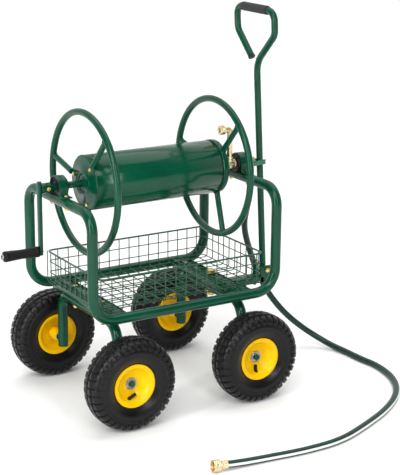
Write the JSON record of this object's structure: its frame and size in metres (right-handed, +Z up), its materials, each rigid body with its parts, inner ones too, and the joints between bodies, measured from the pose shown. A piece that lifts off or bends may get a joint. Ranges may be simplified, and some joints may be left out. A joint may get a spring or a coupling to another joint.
{
  "type": "garden hose reel cart",
  "caption": "Wheeled tubular cart with a crank-wound hose drum between ring flanges, a wire basket, a steered front axle with pull handle, and a leader hose.",
  "frame": {"origin": "on the floor, under the middle of the cart without its leader hose", "axes": "+X the way the cart is pulled, from the crank end to the pull handle; +Y to the left of that; +Z up"},
  "size_m": [1.1015, 0.8869, 1.0693],
  "materials": {
    "green_powder_coat": "glossy dark green powder coat",
    "coated_wire": "green vinyl dipped steel wire",
    "yellow_powder_coat": "glossy yellow powder coat",
    "tyre_rubber": "moulded block tread rubber",
    "black_plastic": "moulded black plastic",
    "foam_rubber": "closed cell foam sleeve",
    "white_nylon": "natural nylon",
    "hose_vinyl": "dark green vinyl hose with one pale stripe",
    "brass": "cast and turned brass",
    "yellow_zinc_steel": "yellow passivated zinc plate",
    "bright_zinc_steel": "bright zinc plate"
  },
  "bodies": {
    "frame": {"front_frame_tube": "green_powder_coat", "rear_frame_tube": "green_powder_coat", "rear_crossbar": "green_powder_coat", "front_crossbar": "green_powder_coat", "rear_axle_beam": "green_powder_coat", "rear_stub_axles": "green_powder_coat", "rear_axle_washers": "bright_zinc_steel", "rear_cotter_pins": "bright_zinc_steel", "rear_beam_bolts": "yellow_zinc_steel", "king_pin": "yellow_zinc_steel", "king_pin_bushing": "black_plastic", "wire_basket": "coated_wire", "rear_bearing_strap": "green_powder_coat", "front_bearing_strap": "green_powder_coat", "rear_shaft_bushing": "black_plastic", "front_shaft_bushing": "black_plastic", "strap_bolts": "yellow_zinc_steel", "handle_clip": "green_powder_coat", "inlet_elbow": "brass", "inlet_ferrule": "brass", "leader_hose": "hose_vinyl", "hose_ferrule": "brass"},
    "reel": {"drum_barrel": "green_powder_coat", "rear_drum_plate": "green_powder_coat", "front_drum_plate": "green_powder_coat", "drum_plate_bolts": "yellow_zinc_steel", "rear_ring": "green_powder_coat", "front_ring": "green_powder_coat", "reel_shaft": "green_powder_coat", "crank_arm": "green_powder_coat", "crank_cross_bolt": "yellow_zinc_steel", "grip_axle": "bright_zinc_steel", "outlet_hub": "brass", "outlet_pipe": "brass"},
    "crank_handle": {"crank_grip": "black_plastic"},
    "steered_axle": {"front_axle_beam": "green_powder_coat", "front_stub_axles": "green_powder_coat", "front_axle_washers": "bright_zinc_steel", "front_cotter_pins": "bright_zinc_steel", "tongue_clevis": "green_powder_coat", "handle_pivot_bolt": "yellow_zinc_steel"},
    "pull_handle": {"handle_tube": "green_powder_coat", "foam_grip": "foam_rubber", "handle_end_plug": "black_plastic", "pivot_spacers": "white_nylon"},
    "hose_nut": {"coupling_nut": "brass"},
    "rear_near_wheel": {"tyre_rear_near": "tyre_rubber", "rim_rear_near": "yellow_powder_coat", "hub_bushings_rear_near": "white_nylon"},
    "rear_far_wheel": {"tyre_rear_far": "tyre_rubber", "rim_rear_far": "yellow_powder_coat", "hub_bushings_rear_far": "white_nylon"},
    "front_near_wheel": {"tyre_front_near": "tyre_rubber", "rim_front_near": "yellow_powder_coat", "hub_bushings_front_near": "white_nylon"},
    "front_far_wheel": {"tyre_front_far": "tyre_rubber", "rim_front_far": "yellow_powder_coat", "hub_bushings_front_far": "white_nylon"}
  },
  "joints": [
    {"name": "reel_spin", "type": "hinge", "parent": "frame", "child": "reel", "pos_m": [0, 0, 0.6215], "axis": [1, 0, 0], "continuous": true},
    {"name": "crank_handle_spin", "type": "hinge", "parent": "reel", "child": "crank_handle", "pos_m": [-0.36, 0, 0.4505], "axis": [1, 0, 0], "continuous": true},
    {"name": "steer", "type": "hinge", "parent": "frame", "child": "steered_axle", "pos_m": [0.228, 0, 0.26], "axis": [0, 0, 1], "range_deg": [-15, 15], "deforming": ["handle_clip"]},
    {"name": "handle_fold", "type": "hinge", "parent": "steered_axle", "child": "pull_handle", "pos_m": [0.408, 0, 0.293], "axis": [0, 1, 0], "range_deg": [0, 105], "deforming": ["handle_clip"]},
    {"name": "coupling_nut_spin", "type": "hinge", "parent": "frame", "child": "hose_nut", "pos_m": [-0.085, -0.5845, 0.0156], "axis": [-0.9929, 0.0827, 0.0851], "continuous": true},
    {"name": "rear_near_wheel_spin", "type": "hinge", "parent": "frame", "child": "rear_near_wheel", "pos_m": [-0.166, -0.232, 0.127], "axis": [0, 1, 0], "continuous": true},
    {"name": "rear_far_wheel_spin", "type": "hinge", "parent": "frame", "child": "rear_far_wheel", "pos_m": [-0.166, 0.232, 0.127], "axis": [0, 1, 0], "continuous": true},
    {"name": "front_near_wheel_spin", "type": "hinge", "parent": "steered_axle", "child": "front_near_wheel", "pos_m": [0.228, -0.232, 0.127], "axis": [0, 1, 0], "continuous": true},
    {"name": "front_far_wheel_spin", "type": "hinge", "parent": "steered_axle", "child": "front_far_wheel", "pos_m": [0.228, 0.232, 0.127], "axis": [0, 1, 0], "continuous": true}
  ]
}
